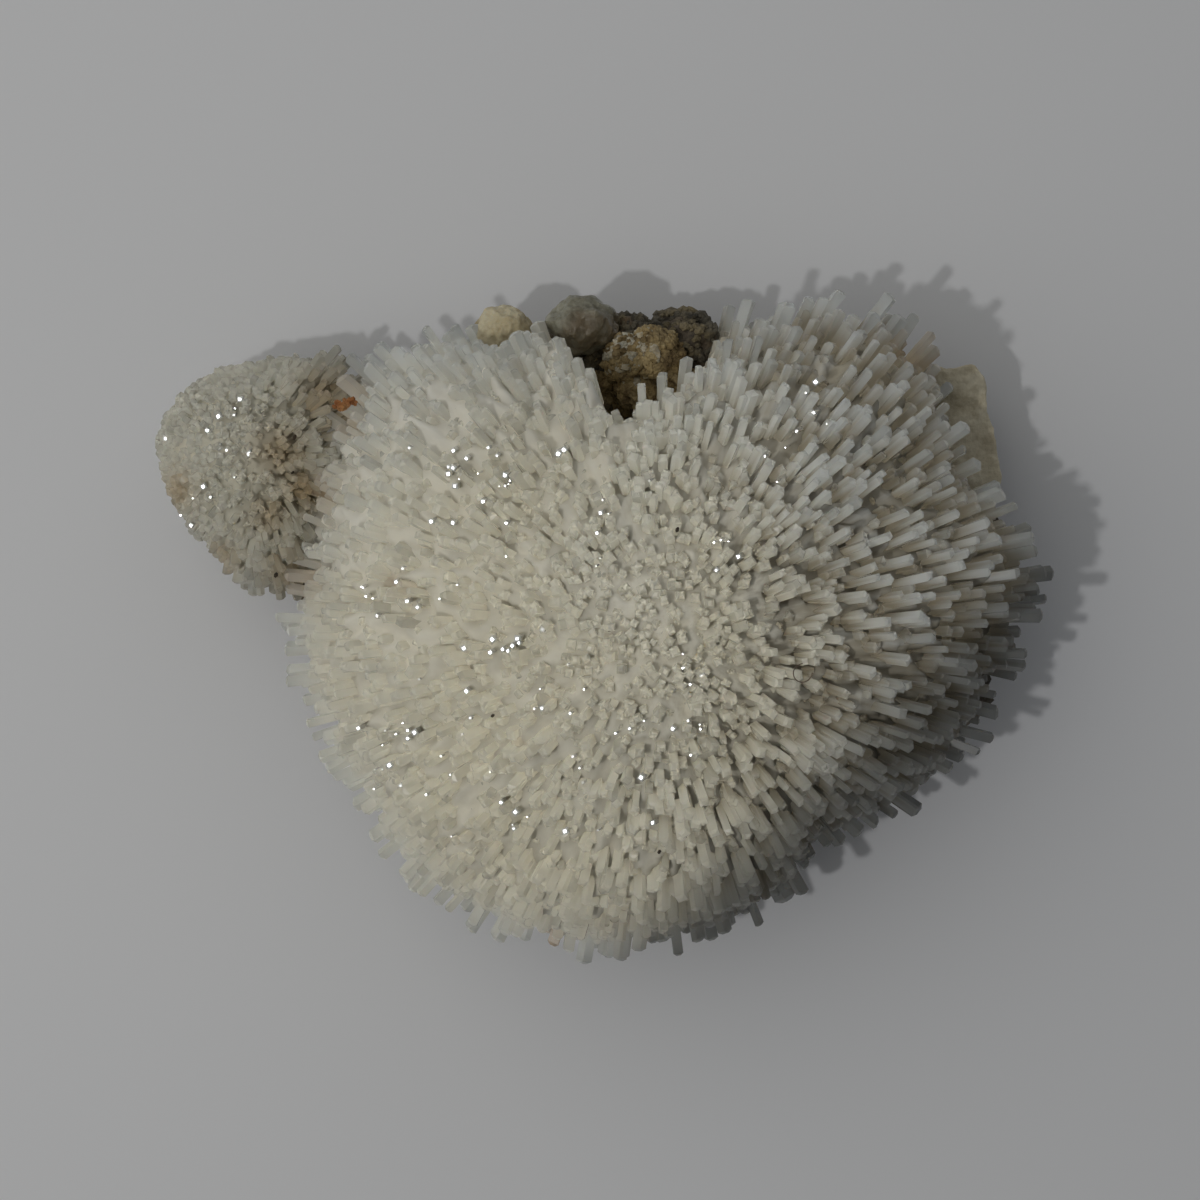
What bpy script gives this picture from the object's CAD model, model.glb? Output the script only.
import math

import bmesh
import bpy
import numpy as np
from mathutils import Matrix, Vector
from mathutils.kdtree import KDTree


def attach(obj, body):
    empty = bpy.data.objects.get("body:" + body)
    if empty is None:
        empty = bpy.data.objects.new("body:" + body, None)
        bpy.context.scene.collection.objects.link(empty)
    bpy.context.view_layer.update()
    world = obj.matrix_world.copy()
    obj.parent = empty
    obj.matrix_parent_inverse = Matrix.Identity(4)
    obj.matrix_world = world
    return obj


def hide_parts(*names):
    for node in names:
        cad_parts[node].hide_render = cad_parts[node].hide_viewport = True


# A natrolite specimen seen from above: a domed spray of square needles, a finer spray at its
# side, and the brown host rock with its crust and nodules showing in a notch at the top edge.
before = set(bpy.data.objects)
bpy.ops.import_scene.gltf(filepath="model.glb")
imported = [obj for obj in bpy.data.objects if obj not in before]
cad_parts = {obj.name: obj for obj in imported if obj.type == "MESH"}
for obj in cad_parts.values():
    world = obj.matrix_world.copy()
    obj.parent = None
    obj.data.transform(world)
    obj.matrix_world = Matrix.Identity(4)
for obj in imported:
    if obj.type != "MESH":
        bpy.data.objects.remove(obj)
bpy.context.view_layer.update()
print("frame loaded:", ", ".join(sorted(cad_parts)))

mm = 0.001

# Lights in metres, the camera in millimetres
studio = {
    "floorColour": (0.80, 0.80, 0.81),
    "floorShade": (0.72, 0.72, 0.73),
    "key": {"place": (-0.40, 0.13, 0.44), "size": 0.95, "power": 1.12, "colour": (1.0, 0.98, 0.92)},
    "fill": {"place": (0.12, 0.45, 0.50), "size": 0.7, "power": 0.22, "colour": (0.90, 0.95, 1.0)},
    "spark": {"place": (-0.20, -0.10, 0.60), "size": 0.02, "power": 0.5, "colour": (1.0, 1.0, 1.0)},
    "world": (0.66, 0.68, 0.70), "worldStrength": 0.20,
    "cameraPlace": (0.0, 3.4, 435.7), "lens": 100,
}


# Selecting and editing

def deselectAll():
    bpy.ops.object.select_all(action="DESELECT")


def makeActive(piece):
    deselectAll()
    piece.select_set(True)
    bpy.context.view_layer.objects.active = piece


def startEditing(piece, selectMode):
    makeActive(piece)
    bpy.ops.object.mode_set(mode="EDIT")
    bpy.ops.mesh.select_mode(type=selectMode)
    bpy.ops.mesh.select_all(action="DESELECT")


def stopEditing():
    bpy.ops.object.mode_set(mode="OBJECT")


def selectWhere(piece, kind, rule):
    mesh = bmesh.from_edit_mesh(piece.data)
    for element in getattr(mesh, kind):
        element.select_set(rule(element))
    mesh.select_flush_mode()
    bmesh.update_edit_mesh(piece.data)


def applyModifiers(piece):
    makeActive(piece)
    for modifier in list(piece.modifiers):
        bpy.ops.object.modifier_apply(modifier=modifier.name)


def takePoints(piece):
    points = np.zeros(len(piece.data.vertices) * 3)
    piece.data.vertices.foreach_get("co", points)
    return points.reshape(-1, 3)


def putPoints(piece, points):
    piece.data.vertices.foreach_set("co", points.ravel())
    piece.data.update()


def finishPiece(piece, material, replaced=()):
    piece.data.materials.clear()
    piece.data.materials.append(material)
    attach(piece, "root")
    if replaced:
        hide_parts(*replaced)
    print("made", piece.name, "with", len(piece.data.polygons), "faces")


# Building materials

def feed(tree, socket, value):
    if isinstance(value, bpy.types.NodeSocket):
        tree.links.new(value, socket)
    elif isinstance(value, tuple) and len(value) == 3 and socket.type == "RGBA":
        socket.default_value = (*value, 1)
    else:
        socket.default_value = value


def mixed(tree, share, first, second, blend="MIX"):
    node = tree.nodes.new("ShaderNodeMix")
    node.data_type = "RGBA"
    node.blend_type = blend
    feed(tree, node.inputs[0], share)
    feed(tree, node.inputs[6], first)
    feed(tree, node.inputs[7], second)
    return node.outputs[2]


def calculated(tree, operation, first, second=0.0):
    node = tree.nodes.new("ShaderNodeMath")
    node.operation = operation
    feed(tree, node.inputs[0], first)
    feed(tree, node.inputs[1], second)
    return node.outputs[0]


def ranged(tree, value, fromLow, fromHigh, toLow=0.0, toHigh=1.0):
    node = tree.nodes.new("ShaderNodeMapRange")
    node.interpolation_type = "SMOOTHSTEP"
    feed(tree, node.inputs["Value"], value)
    settings = {"From Min": fromLow, "From Max": fromHigh, "To Min": toLow, "To Max": toHigh}
    for name, setting in settings.items():
        node.inputs[name].default_value = setting
    return node.outputs[0]


def noised(tree, coordinates, scale, detail=3.0, roughness=0.55):
    node = tree.nodes.new("ShaderNodeTexNoise")
    feed(tree, node.inputs["Vector"], coordinates)
    feed(tree, node.inputs["Scale"], scale)
    node.inputs["Detail"].default_value = detail
    node.inputs["Roughness"].default_value = roughness
    return node.outputs["Fac"]


def celled(tree, coordinates, scale):
    node = tree.nodes.new("ShaderNodeTexVoronoi")
    feed(tree, node.inputs["Vector"], coordinates)
    feed(tree, node.inputs["Scale"], scale)
    return node.outputs["Distance"]


def attributeOf(tree, name):
    node = tree.nodes.new("ShaderNodeAttribute")
    node.attribute_name = name
    return node.outputs["Fac"]


def objectPlace(tree):
    return tree.nodes.new("ShaderNodeTexCoord").outputs["Object"]


def bumped(tree, height, distance, strength):
    node = tree.nodes.new("ShaderNodeBump")
    node.inputs["Strength"].default_value = strength
    node.inputs["Distance"].default_value = distance
    feed(tree, node.inputs["Height"], height)
    return node.outputs["Normal"]


def startMaterial(name, **constants):
    material = bpy.data.materials.new(name)
    material.use_nodes = True
    tree = material.node_tree
    shader = tree.nodes["Principled BSDF"]
    for socket, value in constants.items():
        feed(tree, shader.inputs[socket.replace("_", " ")], value)
    return material, tree, shader


# One group for every kind of stone here: two mottled colours, stains in patches, and a grain
def buildStoneGrain():
    group = bpy.data.node_groups.new("stoneGrain", "ShaderNodeTree")
    wanted = [
        ("Place", "NodeSocketVector", None),
        ("Dark", "NodeSocketColor", (0.05, 0.04, 0.03, 1)),
        ("Light", "NodeSocketColor", (0.2, 0.16, 0.1, 1)),
        ("Stain", "NodeSocketColor", (0.3, 0.2, 0.08, 1)),
        ("Patch Scale", "NodeSocketFloat", 120.0),
        ("Grain Scale", "NodeSocketFloat", 900.0),
        ("Stain Share", "NodeSocketFloat", 0.5),
    ]
    for name, kind, value in wanted:
        socket = group.interface.new_socket(name=name, in_out="INPUT", socket_type=kind)
        if value is not None:
            socket.default_value = value
    given = {"Colour": "NodeSocketColor", "Height": "NodeSocketFloat", "Roughness": "NodeSocketFloat"}
    for name, kind in given.items():
        group.interface.new_socket(name=name, in_out="OUTPUT", socket_type=kind)
    inside = group.nodes.new("NodeGroupInput").outputs
    outside = group.nodes.new("NodeGroupOutput").inputs
    patches = noised(group, inside["Place"], inside["Patch Scale"], 5, 0.62)
    grain = noised(group, inside["Place"], inside["Grain Scale"], 4, 0.7)
    cells = celled(group, inside["Place"], inside["Grain Scale"])
    largeShare = calculated(group, "MULTIPLY", patches, 0.65)
    smallShare = calculated(group, "MULTIPLY", grain, 0.35)
    mottle = calculated(group, "ADD", largeShare, smallShare)
    stone = mixed(group, ranged(group, mottle, 0.36, 0.64), inside["Dark"], inside["Light"])
    stainScale = calculated(group, "MULTIPLY", inside["Patch Scale"], 0.55)
    stainPatches = ranged(group, noised(group, inside["Place"], stainScale, 4, 0.6), 0.45, 0.68)
    stainMask = calculated(group, "MULTIPLY", stainPatches, inside["Stain Share"])
    stained = mixed(group, stainMask, stone, inside["Stain"])
    pits = ranged(group, cells, 0.0, 0.7, 0.25, 0.0)
    feed(group, outside["Colour"], mixed(group, pits, stained, inside["Dark"]))
    cellHeight = calculated(group, "MULTIPLY", cells, -0.5)
    feed(group, outside["Height"], calculated(group, "ADD", grain, cellHeight))
    feed(group, outside["Roughness"], ranged(group, mottle, 0.3, 0.7, 0.95, 0.7))
    return group


stoneGrain = buildStoneGrain()


def stoneMaterial(name, dark, light, stain, stainShare, patchScale, grainScale, relief, **constants):
    material, tree, shader = startMaterial(name, **constants)
    grain = tree.nodes.new("ShaderNodeGroup")
    grain.node_tree = stoneGrain
    values = {"Dark": dark, "Light": light, "Stain": stain, "Stain Share": stainShare,
              "Patch Scale": patchScale, "Grain Scale": grainScale, "Place": objectPlace(tree)}
    for socket, value in values.items():
        feed(tree, grain.inputs[socket], value)
    feed(tree, shader.inputs["Base Color"], grain.outputs["Colour"])
    if "Roughness" not in constants:
        feed(tree, shader.inputs["Roughness"], grain.outputs["Roughness"])
    feed(tree, shader.inputs["Normal"], bumped(tree, grain.outputs["Height"], relief, 0.8))
    return material


# The needle sprays

mainSpray = {
    "name": "mainSpray",
    "focus": (6.9, -1.0, 19.0),
    "height": 34.0,
    "rim": [
        (0, 47.5), (8, 50.8), (17, 50), (21, 48.4), (25, 46.4), (32, 46.8), (38, 48), (42, 50.4),
        (46, 52.4), (54, 51.8), (60, 49), (72, 44), (84, 42), (96, 42.4), (108, 44.6),
        (112, 43.5), (114, 42), (119, 42), (122, 47),
        (132, 50), (141, 51.5), (150, 50.5), (161, 49), (170, 47),
        (180, 47.5), (195, 45.2), (210, 44), (225, 44.3), (240, 42.8), (255, 42), (270, 40.2),
        (285, 39), (300, 37), (309, 34.8), (320, 37), (330, 40.5), (345, 44),
    ],
    # how far out the needles reach in the notch at the top edge, by direction
    "notch": [
        (72, 90), (76, 46), (80, 37), (84, 31), (92, 28), (101, 27.5), (106, 35), (109.5, 44), (112, 90),
    ],
    "lowestTilt": 106,
    "needles": 9000,
    "width": (0.75, 1.2),
    "length": (13, 16),
    "fall": (5.6, 8.8),  # how far tips may end below the dome: at the left, and at the right
    "tall": 0.2,  # share of the needles that stand clear of the others
    "middling": 0.26,
    "rimNeedles": 150,
    "rimFall": 2.3,  # how much less far the needles reach beside the ones that make the ragged rim
    "bundle": 3,
    "lean": (0.10, 0.035),  # how far the needles stand askew: at the top, and at the sides
    "massDepth": (2.0, 3.4, 5.4),  # below the dome: at its top, its left side and its right side
    "massNeedles": 5200,
    "seed": 11,
}

sideSpray = {
    "name": "sideSpray",
    "focus": (-44.1, 22.0, 14.0),
    "height": 15.8,
    "rim": [
        (0, 17), (30, 17.5), (45, 18.5), (60, 15), (75, 12.9), (90, 12), (120, 11.8), (150, 12),
        (175, 12.4), (200, 12), (220, 12.3), (240, 13.2), (257, 15.5), (270, 18.6), (285, 20),
        (300, 19), (330, 17),
    ],
    "notch": [],
    "lowestTilt": 102,
    "needles": 2400,
    "width": (0.65, 0.95),
    "length": (6, 8),
    "fall": (2.6, 6.4),
    "tall": 0.3,
    "middling": 0.3,
    "rimNeedles": 60,
    "rimFall": 0.9,
    "bundle": 2,
    "lean": (0.16, 0.08),
    "massDepth": (1.2, 1.7, 3.8),
    "massNeedles": 2600,
    "seed": 5,
}

needleShape = {
    "endHeight": 0.24,  # of the low pyramid at the end, in widths
    "endTaper": 0.45,
    "endSlope": 0.12,
    "fallShares": (0.26, 0.3, 0.44),  # how the fall is divided among tall, middling and low needles
}

# How the needles of both sprays grow
growth = {
    "seatShift": 0.3,  # how far a needle's seat is moved at random, in spacings
    "bundlePull": 0.6,  # how much of a needle's direction is that of its bundle
    "bundleFall": 0.3,  # how much of a needle's fall is that of its bundle
    "fallAtTop": 0.42,  # of the fall at the sides
    "widthAtTop": 0.95,  # of the width at the sides
    "lowestTip": 0.8,  # how far below the mass a tip may end
    "rootDepth": (1.25, 1.6),  # where a needle starts: times the depth of the mass, and then deeper
    "rimHeights": (-0.08, 0.2),  # between which the single rim needles stand
    "rimShift": 0.35,
    "rimLean": 0.06,
    "rimWidth": (1.1, 1.25),  # of the spray's least width, and of its greatest
}

# Brown stains on the needles: x, y, radius in millimetres, strength
needleStains = [
    (-33.5, 29.5, 3.2, 0.6), (-31.8, 25.6, 1.6, 0.7), (-39.0, 21.5, 3.2, 0.6),
    (-36.0, 16.8, 2.4, 0.75), (-40.5, 13.5, 2.4, 0.5), (-38.5, 6.0, 2.8, 0.5),
    (-52.5, 17.0, 2.4, 0.55), (-46.9, 8.2, 2.2, 0.45), (-24.6, 5.5, 0.9, 0.7), (-9.5, -13.8, 0.7, 0.7),
    (-6.5, -39.5, 1.6, 0.8), (39.5, 34.8, 2.4, 0.7),
]


domeFullness = 2.25  # 2 makes the domes ellipsoids, more makes them squarer
undersideHeight = 1.25  # of the dome's height
centimetre = 10.0  # in millimetres; the depth that the colours follow is in centimetres
rimBand = (0.15, 0.6)  # how steeply the rim changes into the dome


def onTable(table, degrees):
    if not table:
        return np.full_like(degrees, 1e6)
    at = np.array([row[0] for row in table] + [table[0][0] + 360.0])
    reach = np.array([row[1] for row in table] + [table[0][1]], float)
    turn = np.mod(degrees - at[0], 360) + at[0]
    row = np.clip(np.searchsorted(at, turn, side="right") - 1, 0, len(at) - 2)
    share = (turn - at[row]) / (at[row + 1] - at[row])
    eased = 0.5 - 0.5 * np.cos(np.pi * share)
    return reach[row] + (reach[row + 1] - reach[row]) * eased


def lengthsOf(vectors):
    return np.linalg.norm(vectors, axis=1, keepdims=True)


def unit(vectors):
    return vectors / lengthsOf(vectors)


def sprayReach(spray, directions):
    around = np.degrees(np.arctan2(directions[:, 1], directions[:, 0]))
    flat = np.hypot(directions[:, 0], directions[:, 1])
    up = directions[:, 2]
    rise = np.where(up > 0, spray["height"], spray["height"] * undersideHeight)
    across = flat / onTable(spray["rim"], around)
    reach = (across ** domeFullness + (np.abs(up) / rise) ** domeFullness) ** (-1 / domeFullness)
    if spray["notch"]:
        reach = np.minimum(reach, onTable(spray["notch"], around) / np.maximum(flat, 0.05))
    return reach


def smoothStep(low, high, values):
    share = np.clip((values - low) / (high - low), 0, 1)
    return share * share * (3 - 2 * share)


def towardSide(directions):
    return smoothStep(0.1, 0.65, np.hypot(directions[:, 0], directions[:, 1]))


def towardRight(directions):
    return smoothStep(-0.15, 0.6, directions[:, 0] - 0.15 * directions[:, 1])


def spreadSeats(count, lowestTilt, random):
    # Directions spread evenly over the dome, each shifted a little
    lowest = math.cos(math.radians(lowestTilt))
    order = np.arange(count) + 0.5
    up = 1 - order / count * (1 - lowest)
    turn = order * math.pi * (3 - math.sqrt(5))
    flat = np.sqrt(1 - up * up)
    spacing = math.sqrt(2 * math.pi * (1 - lowest) / count)
    seats = np.stack([flat * np.cos(turn), flat * np.sin(turn), up], axis=1)
    return unit(seats + random.normal(size=seats.shape) * spacing * growth["seatShift"])


def nearestSeat(directions, seats):
    tree = KDTree(len(seats))
    for index, seat in enumerate(seats):
        tree.insert(seat, index)
    tree.balance()
    return np.array([tree.find(direction)[1] for direction in directions])


def massFall(spray, directions):
    top, left, right = spray["massDepth"]
    side = left + (right - left) * towardRight(directions)
    atRim = 1 - smoothStep(*rimBand, np.abs(directions[:, 2]))
    return top + (side - top) * towardSide(directions) + spray["rimFall"] * atRim


def plantNeedles(spray):
    random = np.random.default_rng(spray["seed"])
    count = spray["needles"]
    seats = spreadSeats(count, spray["lowestTilt"], random)

    # Needles next to each other stand parallel, in small bundles
    bundles = seats[random.choice(count, count // spray["bundle"], replace=False)]
    bundleOf = nearestSeat(seats, bundles)
    bundleFall = random.random(len(bundles)) ** 1.5
    bundleTurn = random.random(len(bundles)) * math.pi
    topLean, sideLean = spray["lean"]
    lean = topLean + (sideLean - topLean) * towardSide(seats)
    askew = random.normal(size=seats.shape) * lean[:, None]
    pull = growth["bundlePull"]
    axes = unit(bundles[bundleOf] * pull + seats * (1 - pull) + askew)

    most = spray["fall"][0] + (spray["fall"][1] - spray["fall"][0]) * towardRight(seats)
    fallAtTop = growth["fallAtTop"]
    most = most * (fallAtTop + (1 - fallAtTop) * towardSide(seats))
    rank = random.random(count)
    tallFall, middlingFall, lowFall = needleShape["fallShares"]
    isTall = rank < spray["tall"]
    isMiddling = ~isTall & (rank < spray["tall"] + spray["middling"])
    common = growth["bundleFall"]
    share = random.random(count) * (1 - common) + bundleFall[bundleOf] * common
    lower = np.where(isMiddling, tallFall + middlingFall * share, tallFall + middlingFall + lowFall * share)
    share = np.where(isTall, tallFall * share, lower)
    fall = most * share + spray["rimFall"] * (1 - smoothStep(*rimBand, np.abs(seats[:, 2])))
    reach = sprayReach(spray, seats)
    tips = seats * (reach - fall)[:, None]
    around = np.degrees(np.arctan2(seats[:, 1], seats[:, 0]))
    out = reach * np.hypot(seats[:, 0], seats[:, 1])
    inNotch = (out > onTable(spray["notch"], around) - 0.3) & (seats[:, 2] < 0.5)
    sunk = massFall(spray, seats)
    keep = ~inNotch & (fall < sunk + growth["lowestTip"])
    # Above the mass a needle starts just inside it; lower down it starts far in
    isLow = seats[:, 2] < 0.02
    low, high = spray["width"]
    widthAtTop = growth["widthAtTop"]
    widths = (low + (high - low) * random.random(count) ** 1.3)
    widths = widths * (widthAtTop + (1 - widthAtTop) * towardSide(seats))
    times, deeper = growth["rootDepth"]
    needles = {
        "tips": tips, "axes": axes, "fall": fall, "turn": bundleTurn[bundleOf], "width": widths,
        "length": np.where(isLow, random.uniform(*spray["length"], count), sunk * times - fall + deeper),
        "tone": random.random(count),
        "slope": random.normal(size=(count, 2)) * needleShape["endSlope"],
    }
    needles = {name: values[keep] for name, values in needles.items()}
    needles["tips"] = needles["tips"] + np.array(spray["focus"])
    return needles


def modelNeedle():
    # A square needle a unit wide with a low, blunt pyramid on its end
    deselectAll()
    depth = -0.5 - needleShape["endHeight"]
    bpy.ops.mesh.primitive_cube_add(size=1, location=(0, 0, depth))
    template = bpy.context.object
    template.name = "needleTemplate"
    bpy.ops.object.transform_apply(location=True)
    startEditing(template, "FACE")
    selectWhere(template, "faces", lambda face: face.normal.z > 0.9)
    bpy.ops.mesh.extrude_region_move(TRANSFORM_OT_translate={"value": (0, 0, needleShape["endHeight"])})
    bpy.ops.transform.resize(value=(needleShape["endTaper"], needleShape["endTaper"], 1))
    stopEditing()
    return template


def joinCopies(name, template, places, attributes):
    # places holds every copy's points, copies x points x 3, in millimetres
    copies, points = places.shape[:2]
    corners = np.zeros(len(template.data.loops), np.int32)
    template.data.loops.foreach_get("vertex_index", corners)
    starts = np.zeros(len(template.data.polygons), np.int32)
    template.data.polygons.foreach_get("loop_start", starts)
    steps = np.arange(copies, dtype=np.int32)[:, None]
    mesh = bpy.data.meshes.new(name)
    mesh.vertices.add(copies * points)
    mesh.vertices.foreach_set("co", (places * mm).ravel())
    mesh.loops.add(copies * len(corners))
    mesh.loops.foreach_set("vertex_index", (corners[None, :] + steps * points).ravel())
    mesh.polygons.add(copies * len(starts))
    mesh.polygons.foreach_set("loop_start", (starts[None, :] + steps * len(corners)).ravel())
    mesh.update(calc_edges=True)
    mesh.shade_flat()
    for label, values in attributes.items():
        layer = mesh.attributes.new(label, "FLOAT", "POINT")
        layer.data.foreach_set("value", np.ascontiguousarray(values, np.float32).ravel())
    piece = bpy.data.objects.new(name, mesh)
    bpy.context.scene.collection.objects.link(piece)
    return piece


def stainAt(points):
    stain = np.zeros(len(points))
    for x, y, radius, strength in needleStains:
        distance = np.hypot(points[:, 0] - x, points[:, 1] - y)
        stain = np.maximum(stain, strength * np.exp(-(distance / radius) ** 2))
    return stain


def joinNeedles(name, template, needles):
    shape = takePoints(template)
    atEnd = shape[:, 2] > -0.5 - needleShape["endHeight"]
    axes = needles["axes"]
    helper = np.where(np.abs(axes[:, 2:]) < 0.9, np.array([[0, 0, 1.0]]), np.array([[1.0, 0, 0]]))
    side = unit(np.cross(helper, axes))
    other = np.cross(axes, side)
    turn = needles["turn"][:, None]
    sideways = side * np.cos(turn) + other * np.sin(turn)
    onwards = other * np.cos(turn) - side * np.sin(turn)
    width = needles["width"][:, None]
    slope = shape[None, :, 0] * needles["slope"][:, :1] + shape[None, :, 1] * needles["slope"][:, 1:]
    along = np.where(atEnd[None, :], (shape[None, :, 2] + slope) * width, -needles["length"][:, None])
    places = (
        needles["tips"][:, None, :]
        + (shape[None, :, 0] * width)[:, :, None] * sideways[:, None, :]
        + (shape[None, :, 1] * width)[:, :, None] * onwards[:, None, :]
        + along[:, :, None] * axes[:, None, :]
    )
    depth = (needles["fall"][:, None] - along) / centimetre
    everyPoint = np.ones((1, len(shape)))
    return joinCopies(name, template, places, {
        "depth": depth,
        "tone": needles["tone"][:, None] * everyPoint,
        "stain": stainAt(needles["tips"])[:, None] * everyPoint,
    })


# The grown-together mass that the needles stand out of, with their lower ends on it as low steps
massShape = {
    "lowestTilt": 150,
    "step": (0.75, 0.5),  # of its depth: the least, and how much more it may be
    "alongNeedles": (1, 1, 0.35),  # the steps run down the sides, as the needles do
    "foot": 9.5,
}


def modelMass(spray):
    deselectAll()
    bpy.ops.mesh.primitive_ico_sphere_add(subdivisions=7, radius=1)
    mass = bpy.context.object
    mass.name = spray["name"] + "Mass"
    directions = unit(takePoints(mass))
    random = np.random.default_rng(spray["seed"] + 1)
    seats = spreadSeats(spray["massNeedles"], massShape["lowestTilt"], random)
    alongNeedles = np.array(massShape["alongNeedles"])
    nearest = nearestSeat(unit(directions * alongNeedles), unit(seats * alongNeedles))
    step = random.random(len(seats))[nearest]
    least, more = massShape["step"]
    fall = massFall(spray, directions) * (least + more * step)
    reach = sprayReach(spray, directions) - fall
    points = directions * reach[:, None] + np.array(spray["focus"])
    points[:, 2] = np.maximum(points[:, 2], massShape["foot"])
    putPoints(mass, points * mm)
    values = {"depth": fall / centimetre, "tone": 0.8 * step, "stain": stainAt(points)}
    for label, value in values.items():
        layer = mass.data.attributes.new(label, "FLOAT", "POINT")
        layer.data.foreach_set("value", value.astype(np.float32))
    bpy.ops.object.shade_smooth()
    return mass


mainLook = {
    "coolTip": (0.60, 0.612, 0.59),
    "warmTip": (0.66, 0.63, 0.525),
    "tan": (0.60, 0.565, 0.47),
    "brown": (0.34, 0.30, 0.225),
    "stain": (0.40, 0.27, 0.14),
}

# the mass between the needles takes in less light, so it is paler
massLook = mainLook | {
    "coolTip": (0.81, 0.805, 0.755), "warmTip": (0.88, 0.835, 0.69),
    "tan": (0.80, 0.745, 0.61), "brown": (0.52, 0.47, 0.365),
}

sideLook = {
    "coolTip": (0.49, 0.475, 0.41),
    "warmTip": (0.51, 0.485, 0.385),
    "tan": (0.45, 0.40, 0.30),
    "brown": (0.30, 0.225, 0.125),
    "stain": (0.36, 0.25, 0.12),
}

sideMassLook = sideLook | {
    "coolTip": (0.64, 0.61, 0.50), "warmTip": (0.66, 0.62, 0.49), "tan": (0.60, 0.53, 0.39),
}


# The needles are milky: light spreads far inside them, and a little goes straight through
needleStuff = {
    "IOR": 1.48, "Roughness": 0.26, "Specular_IOR_Level": 0.28, "Transmission_Weight": 0.04,
    "Subsurface_Weight": 0.55, "Subsurface_Radius": (1.0, 0.9, 0.75),
}

massStuff = {"Roughness": 0.7, "Specular_IOR_Level": 0.0}

natroliteColouring = {
    "warmMiddle": (-6, -8, 45),  # where the needles are warmest in colour, in millimetres
    "warmReach": (0.022, 0.05),
    "warmest": 0.85,
    "patchScale": 45.0,
    "streakScale": 24.0,
    "unevenness": 0.9,  # of the patches, and of the streaks
    "streakAlong": (1.0, 1.0, 0.18),  # how far the streaks are drawn out along the needles
    "deepFrom": (0.08, 0.62),
    "tanToBrown": (-0.012, 0.03),  # from left to right
    "deepAcross": (-0.03, 0.03),
    "deepAtLeft": 0.45,  # of the depth of colour at the right
    "darkNeedles": (0.80, 0.95, 1.0, 0.80),  # the needles of the highest tones are darker
    "darkEdge": (0.035, 0.051, 1.0, 0.34),  # from the middle to the lower right edge
}


def buildNatrolite(name, look, spray, stuff):
    material, tree, shader = startMaterial(name, **stuff)
    shader.subsurface_method = "BURLEY"
    place = objectPlace(tree)
    depth = attributeOf(tree, "depth")
    parts = tree.nodes.new("ShaderNodeSeparateXYZ")
    tree.links.new(place, parts.inputs[0])
    fromMiddle = tree.nodes.new("ShaderNodeVectorMath")
    fromMiddle.operation = "DISTANCE"
    tree.links.new(place, fromMiddle.inputs[0])
    fromMiddle.inputs[1].default_value = Vector(natroliteColouring["warmMiddle"]) * mm
    patches = noised(tree, place, natroliteColouring["patchScale"], 1)
    warmReach = natroliteColouring["warmReach"]
    nearMiddle = ranged(
        tree, fromMiddle.outputs["Value"], *warmReach, natroliteColouring["warmest"], 0.0
    )
    unevenness = natroliteColouring["unevenness"]
    uneven = calculated(tree, "MULTIPLY", calculated(tree, "SUBTRACT", patches, 0.5), unevenness)
    warmth = calculated(tree, "ADD", nearMiddle, uneven)
    tip = mixed(tree, warmth, look["coolTip"], look["warmTip"])
    rightward = ranged(tree, parts.outputs["X"], *natroliteColouring["tanToBrown"])
    deep = mixed(tree, rightward, look["tan"], look["brown"])
    outward = tree.nodes.new("ShaderNodeVectorMath")
    outward.operation = "SUBTRACT"
    tree.links.new(place, outward.inputs[0])
    outward.inputs[1].default_value = Vector(spray["focus"]) * mm
    flattened = tree.nodes.new("ShaderNodeVectorMath")
    flattened.operation = "MULTIPLY"
    tree.links.new(outward.outputs["Vector"], flattened.inputs[0])
    flattened.inputs[1].default_value = natroliteColouring["streakAlong"]
    direction = tree.nodes.new("ShaderNodeVectorMath")
    direction.operation = "NORMALIZE"
    tree.links.new(flattened.outputs["Vector"], direction.inputs[0])
    streaks = noised(tree, direction.outputs["Vector"], natroliteColouring["streakScale"], 2)
    cloudy = calculated(tree, "MULTIPLY", calculated(tree, "SUBTRACT", streaks, 0.5), unevenness)
    cloudyDepth = calculated(tree, "ADD", depth, cloudy)
    depthShare = ranged(tree, cloudyDepth, *natroliteColouring["deepFrom"])
    deepAtLeft = natroliteColouring["deepAtLeft"]
    deepAcross = ranged(tree, parts.outputs["X"], *natroliteColouring["deepAcross"], deepAtLeft, 1.0)
    body = mixed(tree, calculated(tree, "MULTIPLY", depthShare, deepAcross), tip, deep)
    tone = ranged(tree, attributeOf(tree, "tone"), *natroliteColouring["darkNeedles"])
    # the needles are darker toward the lower right edge
    downRight = calculated(tree, "SUBTRACT", parts.outputs["X"], parts.outputs["Y"])
    edgeShade = ranged(tree, downRight, *natroliteColouring["darkEdge"])
    toned = mixed(tree, 1.0, body, calculated(tree, "MULTIPLY", tone, edgeShade), "MULTIPLY")
    feed(tree, shader.inputs["Base Color"], mixed(tree, attributeOf(tree, "stain"), toned, look["stain"]))
    return material


mainNeedleStone = buildNatrolite(
    "mainNeedleStone", mainLook, mainSpray, needleStuff | {"Subsurface_Scale": 45 * mm}
)
mainMassStone = buildNatrolite("mainMassStone", massLook, mainSpray, massStuff)
sideNeedleStone = buildNatrolite(
    "sideNeedleStone", sideLook, sideSpray, needleStuff | {"Subsurface_Scale": 24 * mm}
)
sideMassStone = buildNatrolite("sideMassStone", sideMassLook, sideSpray, massStuff)
print("natrolite materials built")

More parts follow.
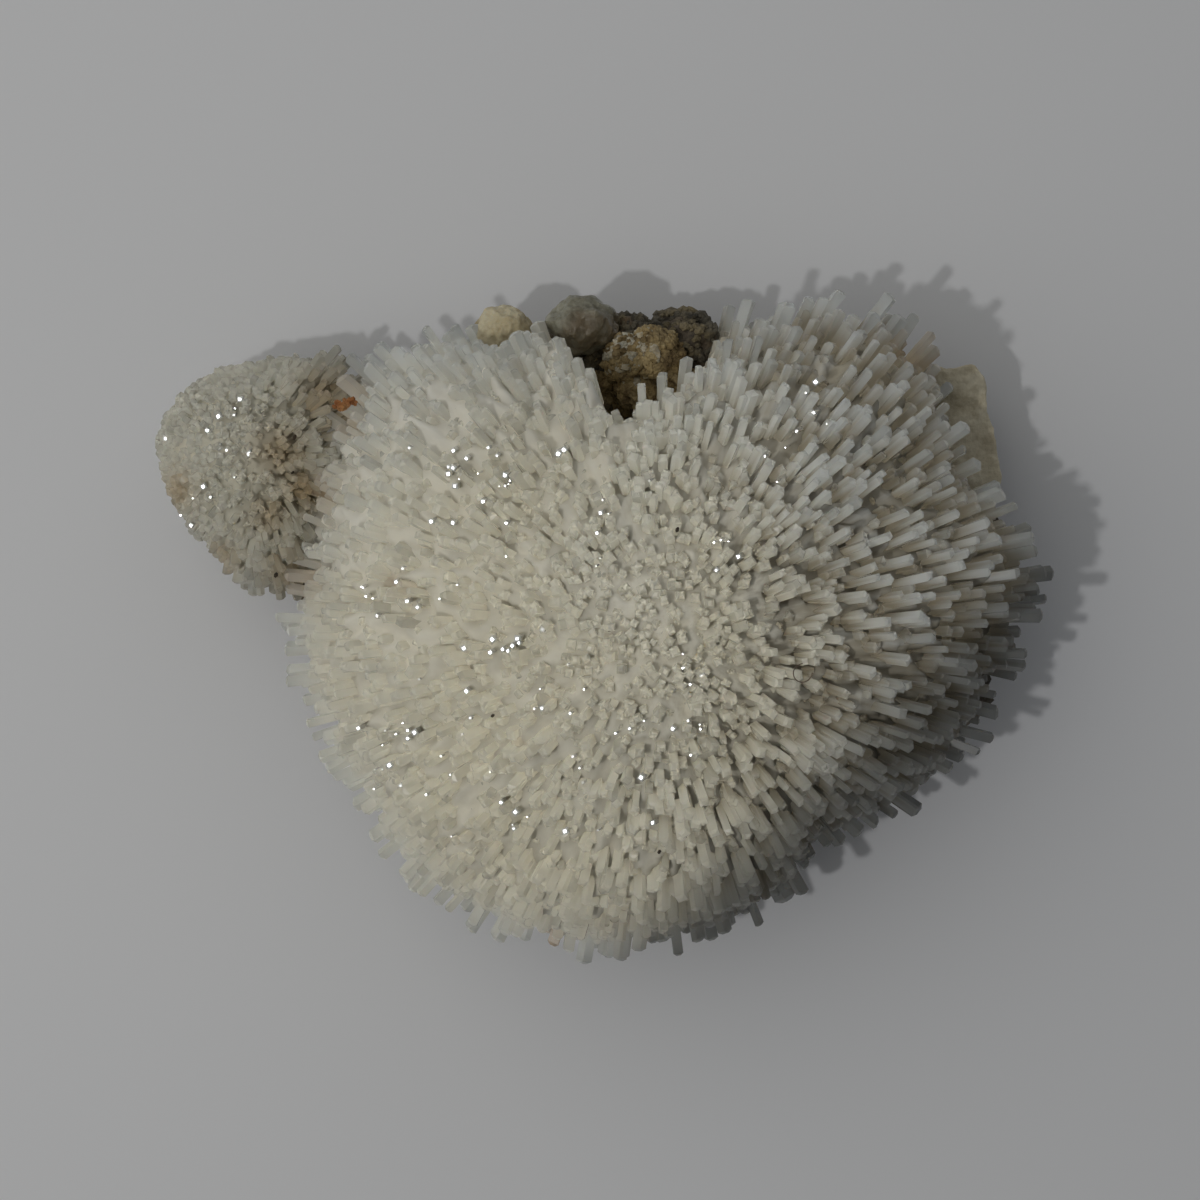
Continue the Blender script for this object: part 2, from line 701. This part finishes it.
# Needles that stick out of the outline: tip x, y, z, width, length
outlineNeedles = [
    (23.4, 40.3, 22, 1.7, 11), (26.2, 41.0, 21, 1.5, 11), (27.9, 40.8, 23, 1.3, 12),
    (34.2, 38.8, 24, 1.5, 12), (37.5, 38.6, 22, 1.4, 12), (55.6, 7.0, 20, 1.5, 12),
    (54.6, 2.2, 18, 2.0, 11), (-31.6, 34.0, 18, 1.2, 12), (-29.2, 33.8, 20, 1.1, 11),
    (-16.4, -38.0, 18, 1.3, 12), (-13.0, -39.0, 20, 1.5, 12), (-6.0, -40.0, 17, 1.4, 12),
    (0.6, -41.0, 19, 1.4, 13), (2.8, -41.2, 21, 1.3, 12), (13.9, -39.2, 18, 1.5, 12),
    (16.1, -37.2, 20, 1.4, 12), (23.4, -34.2, 19, 2.1, 12), (39.8, -23.0, 20, 1.5, 12),
    (45.8, -12.0, 18, 1.5, 12), (-40.0, 0.4, 17, 1.4, 12), (-39.2, -6.6, 19, 1.4, 12),
    (-37.2, -9.2, 17, 1.3, 12), (-34.6, -14.0, 19, 1.4, 12), (-32.2, -19.5, 18, 1.4, 12),
    (-28.6, -26.4, 19, 1.5, 12), (-24.2, -32.0, 18, 1.5, 12), (4.9, 29.0, 40, 0.95, 10),
    (7.4, 30.5, 38, 1.0, 10), (10.4, 32.5, 36, 1.1, 10), (-15.4, 35.4, 24, 1.2, 9),
    (-13.6, 34.6, 25, 1.3, 9), (-11.8, 35.3, 25, 1.2, 9), (-10.2, 36.6, 24, 1.3, 9),
    (-8.6, 36.2, 25, 1.1, 9),
]


def plantOutlineNeedles(spray):
    rows = np.array(outlineNeedles, float)
    random = np.random.default_rng(31)
    count = len(rows)
    tips = rows[:, :3]
    return {
        "tips": tips, "axes": unit(tips - np.array(spray["focus"]) + random.normal(size=tips.shape)),
        "fall": np.full(count, 0.6), "turn": random.random(count) * math.pi, "width": rows[:, 3],
        "length": rows[:, 4], "tone": random.random(count),
        "slope": random.normal(size=(count, 2)) * needleShape["endSlope"],
    }


def plantRimNeedles(spray):
    # Single needles that stand out all round at the widest level
    random = np.random.default_rng(spray["seed"] + 2)
    count = spray["rimNeedles"]
    shift = random.uniform(-growth["rimShift"], growth["rimShift"], count)
    turn = (np.arange(count) + shift) / count * 2 * math.pi
    up = random.uniform(*growth["rimHeights"], count)
    seats = unit(np.stack([np.cos(turn), np.sin(turn), up], axis=1))
    reach = sprayReach(spray, seats)
    outside = onTable(spray["notch"], np.degrees(turn)) > onTable(spray["rim"], np.degrees(turn))
    fall = (spray["rimFall"] + 0.4) * random.random(count) ** 1.2
    thinnest, thickest = np.array(spray["width"]) * growth["rimWidth"]
    needles = {
        "tips": seats * (reach - fall)[:, None] + np.array(spray["focus"]),
        "axes": unit(seats + random.normal(size=seats.shape) * growth["rimLean"]), "fall": fall,
        "turn": random.random(count) * math.pi, "width": random.uniform(thinnest, thickest, count),
        "length": np.full(count, spray["length"][0]), "tone": random.random(count),
        "slope": random.normal(size=(count, 2)) * needleShape["endSlope"],
    }
    return takeRows(needles, outside)


def nearerSpray(x):
    return sideSpray if x < -36 else mainSpray


def topOfNeedles(x, y):
    # The height of the tips of the nearer spray over a place
    spray = nearerSpray(x)
    flat = math.hypot(x - spray["focus"][0], y - spray["focus"][1])
    around = math.degrees(math.atan2(y - spray["focus"][1], x - spray["focus"][0]))
    rim = float(onTable(spray["rim"], np.array([around]))[0])
    share = max(0.0, 1 - (flat / rim) ** domeFullness)
    return spray["focus"][2] + spray["height"] * share ** (1 / domeFullness)


# Tiny clear crystals that catch the light: x, y and how many stand together
glints = {
    "groups": [
        (-55.6, 23.0, 7), (-45.5, 26.7, 6), (-45.1, 21.5, 8), (-48.5, 17.0, 5), (-52.5, 13.5, 4),
        (-27.6, 3.5, 6), (-22.1, 3.5, 5), (-11.1, -2.0, 8), (8.9, -5.0, 3), (9.9, -11.5, 5),
        (-23.6, -12.8, 7), (-10.4, -21.7, 4), (25.4, 26.0, 4), (-18.0, 19.5, 7), (-12.5, 17.5, 6),
        (-26.0, -16.0, 4), (14.5, 8.5, 4), (22.0, 20.5, 4), (1.5, 14.0, 3), (-2.0, -16.0, 3),
    ],
    "spread": 1.3,
    "single": 55,
    "singleWithin": ((-30, 14), (-26, 24)),
    "notBelow": 0.35,  # of the spray's height
    "fall": (0.1, 0.4),  # of the depth of the mass
    "size": (0.2, 0.75),
    "length": 5.0,
    "askew": 0.007,
}


def takeRows(needles, rows):
    return {name: values[rows] for name, values in needles.items()}


def together(plans):
    return {name: np.concatenate([plan[name] for plan in plans]) for name in plans[0]}


def makeGlints(template):
    random = np.random.default_rng(17)
    places = [
        (x + random.normal() * glints["spread"], y + random.normal() * glints["spread"])
        for x, y, howMany in glints["groups"] for _ in range(howMany)
    ]
    withinX, withinY = glints["singleWithin"]
    places += [
        (random.uniform(*withinX), random.uniform(*withinY)) for _ in range(glints["single"])
    ]
    tips = []
    for x, y in places:
        spray = nearerSpray(x)
        outward = np.array([(x, y, topOfNeedles(x, y))]) - np.array(spray["focus"])
        if outward[0, 2] > glints["notBelow"] * spray["height"]:
            fall = float(massFall(spray, unit(outward))[0]) * random.uniform(*glints["fall"])
            tips.append(outward[0] - unit(outward)[0] * fall + np.array(spray["focus"]))
    tips = np.array(tips)
    count = len(tips)
    low, high = glints["size"]
    width = low + (high - low) * random.random(count) ** 2
    # each is turned halfway between the small lamp and the view from above
    lamp = np.array(studio["spark"]["place"]) / mm
    facing = unit(unit(lamp - tips) + unit(np.array(studio["cameraPlace"]) - tips))
    needles = {
        "tips": tips, "fall": np.zeros(count), "turn": random.random(count) * math.pi,
        "axes": unit(facing + random.normal(size=tips.shape) * glints["askew"]),
        "width": width, "length": np.full(count, glints["length"]), "tone": np.full(count, 0.5),
        "slope": np.zeros((count, 2)),
    }
    piece = joinNeedles("glintCrystals", template, needles)
    material, tree, shader = startMaterial(
        "glintStone", IOR=1.48, Roughness=0.12, Coat_Weight=1.0, Coat_Roughness=0.08,
        Subsurface_Weight=0.6, Subsurface_Radius=(1.0, 0.9, 0.75), Subsurface_Scale=2.0 * mm,
    )
    tint = noised(tree, objectPlace(tree), 300.0)
    feed(tree, shader.inputs["Base Color"], mixed(tree, tint, (0.82, 0.82, 0.76), (0.92, 0.91, 0.84)))
    finishPiece(piece, material)


def makeNatrolite():
    template = modelNeedle()
    mainNeedles = [plantNeedles(mainSpray), plantRimNeedles(mainSpray), plantOutlineNeedles(mainSpray)]
    sideNeedles = [plantNeedles(sideSpray), plantRimNeedles(sideSpray)]
    pieces = [
        (joinNeedles("needlesMain", template, together(mainNeedles)), mainNeedleStone),
        (joinNeedles("needlesSide", template, together(sideNeedles)), sideNeedleStone),
        (modelMass(mainSpray), mainMassStone),
        (modelMass(sideSpray), sideMassStone),
    ]
    for piece, material in pieces:
        finishPiece(piece, material, ["natrolite_crystals"])
    makeGlints(template)
    bpy.data.objects.remove(template)


makeNatrolite()
print("needle sprays done")


# The stone pieces are finer copies of their solids

def copyOfSolid(node, name, voxel):
    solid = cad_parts[node]
    piece = bpy.data.objects.new(name, solid.data.copy())
    bpy.context.scene.collection.objects.link(piece)
    startEditing(piece, "VERT")
    bpy.ops.mesh.select_all(action="SELECT")
    bpy.ops.mesh.remove_doubles(threshold=0.01 * mm)
    stopEditing()
    remesh = piece.modifiers.new("finer", "REMESH")
    remesh.mode = "VOXEL"
    remesh.voxel_size = voxel * mm
    applyModifiers(piece)
    return piece


def displace(piece, kind, size, strength, middle=0.5):
    texture = bpy.data.textures.new(piece.name + kind, kind)
    texture.noise_scale = size * mm
    modifier = piece.modifiers.new("relief", "DISPLACE")
    modifier.texture = texture
    modifier.texture_coords = "LOCAL"
    modifier.strength = strength * mm
    modifier.mid_level = middle
    applyModifiers(piece)


rockLook = {"voxel": 0.7, "lumps": (6.0, 2.6), "breaks": (1.9, 1.9), "flatBelow": 0.7}


def makeHostRock():
    piece = copyOfSolid("host_rock", "hostRock", rockLook["voxel"])
    before = takePoints(piece)
    displace(piece, "CLOUDS", *rockLook["lumps"], 0.55)
    displace(piece, "VORONOI", *rockLook["breaks"], 0.45)
    points = takePoints(piece)
    flat = before[:, 2] < rockLook["flatBelow"] * mm
    points[flat, 2] = 0.0
    points[:, 2] = np.maximum(points[:, 2], 0.0)
    putPoints(piece, points)
    material = stoneMaterial(
        "hostRockStone", dark=(0.035, 0.028, 0.02), light=(0.16, 0.125, 0.085),
        stain=(0.26, 0.17, 0.08), stainShare=0.55, patchScale=150.0, grainScale=1100.0, relief=0.5 * mm,
    )
    finishPiece(piece, material, ["host_rock"])
    return piece


# lumps and pits are the size of the relief and how far it moves the surface
creamNoduleShape = {
    "centre": (-12.0, 36.9, 18.4), "radii": (3.7, 3.3, 3.8), "lumps": (2.4, 1.2), "pits": (1.1, 0.4),
}

greyNoduleShape = {"voxel": 0.28, "lumps": (2.6, 1.8), "pits": (1.8, 0.5)}


def makeNodules():
    deselectAll()
    bpy.ops.mesh.primitive_ico_sphere_add(subdivisions=5, radius=1)
    cream = bpy.context.object
    cream.name = "creamNodule"
    points = takePoints(cream) * np.array(creamNoduleShape["radii"]) + np.array(creamNoduleShape["centre"])
    putPoints(cream, points * mm)
    displace(cream, "CLOUDS", *creamNoduleShape["lumps"])
    displace(cream, "VORONOI", *creamNoduleShape["pits"])
    material = stoneMaterial(
        "creamStone", dark=(0.42, 0.34, 0.20), light=(0.70, 0.63, 0.44),
        stain=(0.46, 0.36, 0.18), stainShare=0.45, patchScale=260.0, grainScale=1500.0, relief=0.15 * mm,
        Subsurface_Weight=0.2, Subsurface_Radius=(1.0, 0.7, 0.4), Subsurface_Scale=1.2 * mm,
    )
    finishPiece(cream, material, ["cream_nodule"])
    grey = copyOfSolid("grey_nodule", "greyNodule", greyNoduleShape["voxel"])
    displace(grey, "CLOUDS", *greyNoduleShape["lumps"])
    displace(grey, "VORONOI", *greyNoduleShape["pits"])
    material = stoneMaterial(
        "greyStone", dark=(0.17, 0.16, 0.11), light=(0.40, 0.39, 0.31),
        stain=(0.15, 0.11, 0.06), stainShare=0.95, patchScale=220.0, grainScale=1500.0, relief=0.12 * mm,
        Roughness=0.32, Subsurface_Weight=0.4, Subsurface_Radius=(1.0, 0.9, 0.7),
        Subsurface_Scale=2.0 * mm,
    )
    finishPiece(grey, material, ["grey_nodule"])


cornerBlockShape = {"voxel": 0.4, "lumps": (4.0, 1.0), "pits": (1.6, 0.35)}


def makeCornerBlock():
    piece = copyOfSolid("pale_corner_block", "paleCornerBlock", cornerBlockShape["voxel"])
    displace(piece, "CLOUDS", *cornerBlockShape["lumps"])
    displace(piece, "VORONOI", *cornerBlockShape["pits"])
    material = stoneMaterial(
        "paleStone", dark=(0.50, 0.43, 0.29), light=(0.78, 0.71, 0.54),
        stain=(0.34, 0.26, 0.15), stainShare=0.5, patchScale=200.0, grainScale=1300.0, relief=0.2 * mm,
    )
    finishPiece(piece, material, ["pale_corner_block"])


hostRock = makeHostRock()
makeNodules()
makeCornerBlock()
print("rock, nodules and block done")

# The crust: a crumbly mass with small grains all over it

crustLook = {
    "voxel": 0.3, "lumps": (1.6, 1.3), "pits": (0.8, 0.8),
    "size": (0.28, 0.95),
    "grains": 1900, "above": 17.5,
    "paleGrains": 420, "paleAt": (3.2, 34.8, 9), "paleAbove": 18,  # x, y and spread squared
    "lowGrains": 520, "lowAt": (2.6, 29.5, 7),
    "rockGrains": 1500, "rockAbove": 13, "rockFrom": 26, "rockWithin": (6, 16),
}


def scatterOver(piece, count, random, rule):
    mesh = piece.data
    centres = np.zeros(len(mesh.polygons) * 3)
    mesh.polygons.foreach_get("center", centres)
    centres = centres.reshape(-1, 3) / mm
    areas = np.zeros(len(mesh.polygons))
    mesh.polygons.foreach_get("area", areas)
    areas = areas * rule(centres)
    return centres[random.choice(len(centres), count, p=areas / areas.sum())]


def near(centres, place):
    x, y, spreadSquared = place
    return np.exp(-((centres[:, 0] - x) ** 2 + (centres[:, 1] - y) ** 2) / spreadSquared)


def modelGrain():
    deselectAll()
    bpy.ops.mesh.primitive_ico_sphere_add(subdivisions=1, radius=1)
    grain = bpy.context.object
    startEditing(grain, "FACE")
    selectWhere(grain, "faces", lambda face: face.normal.z > 0.7)
    bpy.ops.transform.translate(value=(0.1, 0, -0.25))
    stopEditing()
    return grain


def joinGrains(name, grain, centres, sizes, random):
    shape = takePoints(grain)
    count = len(centres)
    first = unit(random.normal(size=(count, 3)))
    second = unit(np.cross(first, unit(random.normal(size=(count, 3)))))
    third = np.cross(first, second)
    stretch = random.uniform(0.65, 1.3, (count, 3)) * sizes[:, None]
    places = centres[:, None, :] + sum(
        (shape[None, :, k] * stretch[:, k:k + 1])[:, :, None] * axis[:, None, :]
        for k, axis in enumerate((first, second, third))
    )
    tone = random.random(count)[:, None] * np.ones((1, len(shape)))
    return joinCopies(name, grain, places, {"tone": tone})


def grainSizes(count, random, crowding=2.0):
    low, high = crustLook["size"]
    return low + (high - low) * random.random(count) ** crowding


def makeCrust():
    def onTop(centres):
        return centres[:, 2] > crustLook["above"]

    def upperLeft(centres):
        return near(centres, crustLook["paleAt"]) * (centres[:, 2] > crustLook["paleAbove"])

    def lowInNotch(centres):
        return near(centres, crustLook["lowAt"]) * (centres[:, 2] > crustLook["rockAbove"])

    def inNotch(centres):
        middle, halfWidth = crustLook["rockWithin"]
        high = centres[:, 2] > crustLook["rockAbove"]
        back = centres[:, 1] > crustLook["rockFrom"]
        return high & back & (np.abs(centres[:, 0] - middle) < halfWidth)

    crust = copyOfSolid("ochre_crust", "ochreCrust", crustLook["voxel"])
    displace(crust, "CLOUDS", *crustLook["lumps"], 0.45)
    displace(crust, "VORONOI", *crustLook["pits"], 0.45)
    material = stoneMaterial(
        "crustStone", dark=(0.13, 0.085, 0.035), light=(0.45, 0.33, 0.15),
        stain=(0.60, 0.48, 0.26), stainShare=0.6, patchScale=420.0, grainScale=2600.0, relief=0.4 * mm,
    )
    finishPiece(crust, material, ["ochre_crust"])
    random = np.random.default_rng(3)
    grain = modelGrain()
    centres = scatterOver(crust, crustLook["grains"], random, onTop)
    grains = joinGrains("crustGrains", grain, centres, grainSizes(len(centres), random), random)
    finishPiece(grains, material)
    centres = scatterOver(crust, crustLook["paleGrains"], random, upperLeft)
    pale = joinGrains("paleGrains", grain, centres, grainSizes(len(centres), random), random)
    sugary = stoneMaterial(
        "sugaryStone", dark=(0.34, 0.29, 0.20), light=(0.66, 0.60, 0.46),
        stain=(0.52, 0.42, 0.26), stainShare=0.5, patchScale=600.0, grainScale=2600.0, relief=0.1 * mm,
        Roughness=0.22, Subsurface_Weight=0.4, Subsurface_Radius=(1.0, 0.8, 0.6),
        Subsurface_Scale=0.8 * mm,
    )
    finishPiece(pale, sugary)
    centres = scatterOver(hostRock, crustLook["lowGrains"], random, lowInNotch)
    sizes = grainSizes(len(centres), random, 1.4)
    finishPiece(joinGrains("lowCrustGrains", grain, centres, sizes, random), material)
    # crumbs of the rock itself, in the notch
    centres = scatterOver(hostRock, crustLook["rockGrains"], random, inNotch)
    crumbs = joinGrains("rockCrumbs", grain, centres, grainSizes(len(centres), random), random)
    crumbStone = stoneMaterial(
        "crumbStone", dark=(0.04, 0.035, 0.025), light=(0.17, 0.148, 0.105),
        stain=(0.30, 0.235, 0.12), stainShare=0.6, patchScale=420.0, grainScale=2600.0, relief=0.3 * mm,
    )
    finishPiece(crumbs, crumbStone)
    bpy.data.objects.remove(grain)


makeCrust()
print("crust done")

# Small things that lie on the needles

looseThings = {
    "fleck": (-30.6, 27.0),
    "fleckGrains": 34,
    "specks": [(-37.4, 23.3, 0.42), (-37.6, 19.0, 0.36), (-40.1, 6.5, 0.36), (8.9, 11.5, 0.3),
               (6.9, -26.0, 0.34), (-12.4, -10.0, 0.3)],
    "hair": [(0.0, 1.6), (-0.9, 1.3), (-1.3, 0.4), (-0.9, -0.5), (0.0, -0.8), (0.9, -0.3), (1.1, 0.5)],
    "hairAt": (23.4, -5.5),
    "hairWidth": 0.14,
}


def makeLooseThings():
    random = np.random.default_rng(8)
    grain = modelGrain()
    fleckX, fleckY = looseThings["fleck"]
    count = looseThings["fleckGrains"]
    right = random.uniform(-1.3, 1.3, count)
    centres = np.stack([
        fleckX + right, fleckY + 0.25 * right + random.uniform(-0.5, 0.5, count),
        topOfNeedles(fleckX, fleckY) + random.uniform(-0.6, 0.5, count),
    ], axis=1)
    fleck = joinGrains("orangeFleck", grain, centres, random.uniform(0.2, 0.5, count), random)
    material = stoneMaterial(
        "orangeFleckStone", dark=(0.22, 0.07, 0.02), light=(0.50, 0.21, 0.06),
        stain=(0.60, 0.34, 0.14), stainShare=0.5, patchScale=700.0, grainScale=2600.0, relief=0.1 * mm,
    )
    finishPiece(fleck, material)
    specks = looseThings["specks"]
    centres = np.array([(x, y, topOfNeedles(x, y) - 0.8) for x, y, _ in specks])
    dark = joinGrains("darkSpecks", grain, centres, np.array([size for *_, size in specks]), random)
    material = stoneMaterial(
        "darkSpeckStone", dark=(0.015, 0.012, 0.01), light=(0.06, 0.045, 0.03),
        stain=(0.09, 0.05, 0.02), stainShare=0.4, patchScale=900.0, grainScale=2600.0, relief=0.1 * mm,
    )
    finishPiece(dark, material)
    bpy.data.objects.remove(grain)


def makeHair():
    deselectAll()
    bpy.ops.curve.primitive_nurbs_path_add()
    hair = bpy.context.object
    hair.name = "lintHair"
    hair.location = (0, 0, 0)
    spline = hair.data.splines[0]
    route = looseThings["hair"]
    spline.points.add(len(route) - len(spline.points))
    x, y = looseThings["hairAt"]
    height = topOfNeedles(x, y)
    for point, (right, up) in zip(spline.points, route):
        point.co = ((x + right) * mm, (y + up) * mm, (height + 0.25 * math.sin(right * 3)) * mm, 1)
    hair.data.bevel_depth = looseThings["hairWidth"] / 2 * mm
    hair.data.bevel_resolution = 1
    hair.data.use_fill_caps = True
    makeActive(hair)
    bpy.ops.object.convert(target="MESH")
    material, tree, shader = startMaterial("lint", Roughness=0.6)
    colour = mixed(tree, noised(tree, objectPlace(tree), 900.0), (0.10, 0.07, 0.05), (0.22, 0.17, 0.12))
    feed(tree, shader.inputs["Base Color"], colour)
    finishPiece(bpy.context.object, material)


makeLooseThings()
makeHair()
print("loose things done")

# Floor, lights and camera


def makeFloor():
    deselectAll()
    bpy.ops.mesh.primitive_plane_add(size=3, location=(0, 0, 0))
    floor = bpy.context.object
    floor.name = "floor"
    material, tree, shader = startMaterial("floorPaper", Roughness=0.9, Specular_IOR_Level=0.0)
    paper = noised(tree, objectPlace(tree), 6.0)
    uneven = ranged(tree, paper, 0.3, 0.7, 0.0, 0.06)
    colour = mixed(tree, uneven, studio["floorColour"], studio["floorShade"])
    feed(tree, shader.inputs["Base Color"], colour)
    floor.data.materials.append(material)


def addLight(name):
    values = studio[name]
    place = Vector(values["place"])
    bpy.ops.object.light_add(type="AREA", location=place)
    light = bpy.context.object
    light.name = name + "Light"
    light.rotation_euler = (Vector((0, 0, 0.02)) - place).to_track_quat("-Z", "Y").to_euler()
    light.data.shape = "DISK"
    light.data.size = values["size"]
    light.data.energy = values["power"]
    light.data.color = values["colour"]


def makeStudio():
    makeFloor()
    for name in ("key", "fill", "spark"):
        addLight(name)
    world = bpy.data.worlds.new("studio")
    world.use_nodes = True
    background = world.node_tree.nodes["Background"]
    background.inputs["Color"].default_value = (*studio["world"], 1)
    background.inputs["Strength"].default_value = studio["worldStrength"]
    bpy.context.scene.world = world
    bpy.context.scene.view_settings.view_transform = "Standard"
    place = Vector(studio["cameraPlace"]) * mm
    bpy.ops.object.camera_add(location=place, rotation=(0, 0, 0))
    camera = bpy.context.object
    camera.data.lens = studio["lens"]
    camera.data.sensor_width = 36
    camera.data.clip_start = 0.01
    bpy.context.scene.camera = camera


makeStudio()
print("studio done")
